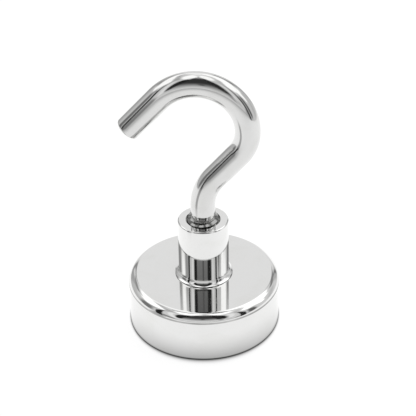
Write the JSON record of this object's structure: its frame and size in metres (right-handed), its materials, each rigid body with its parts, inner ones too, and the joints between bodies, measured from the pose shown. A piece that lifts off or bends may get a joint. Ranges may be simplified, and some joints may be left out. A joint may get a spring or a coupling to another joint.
{
  "type": "magnetic hook",
  "caption": "Small pot magnet with a threaded boss on its roof and a bent-wire hook screwed into it; the hook turns and rises on its thread.",
  "frame": {"origin": "centre of the magnet's working face, on the pot's axis", "axes": "+Z along the pot's axis from the working face towards the hook; the hook's wire is bent in the XZ plane and its mouth opens towards -X"},
  "size_m": [0.0202, 0.02, 0.0357],
  "materials": {
    "nickel_plate": "bright nickel plate on steel",
    "magnet_plate": "satin nickel plate on a sintered magnet",
    "epoxy": "cured black epoxy"
  },
  "bodies": {
    "base": {"magnet_pot": "nickel_plate", "disc_magnet": "magnet_plate", "epoxy_bed": "epoxy", "threaded_boss": "nickel_plate"},
    "point": {"shank_point": "nickel_plate"},
    "hook": {"hook": "nickel_plate"}
  },
  "joints": [
    {"name": "hook_lift", "type": "slide", "parent": "base", "child": "point", "axis": [0, 0, 1], "range_m": [0, 0.00752]},
    {"name": "hook_turn", "type": "hinge", "parent": "point", "child": "hook", "pos_m": [0, 0, 0.015], "axis": [0, 0, 1], "range_deg": [0, 3871]}
  ],
  "couplings": [
    {"joint": "hook_turn", "follows": "hook_lift", "rad_per_m": 8976}
  ]
}
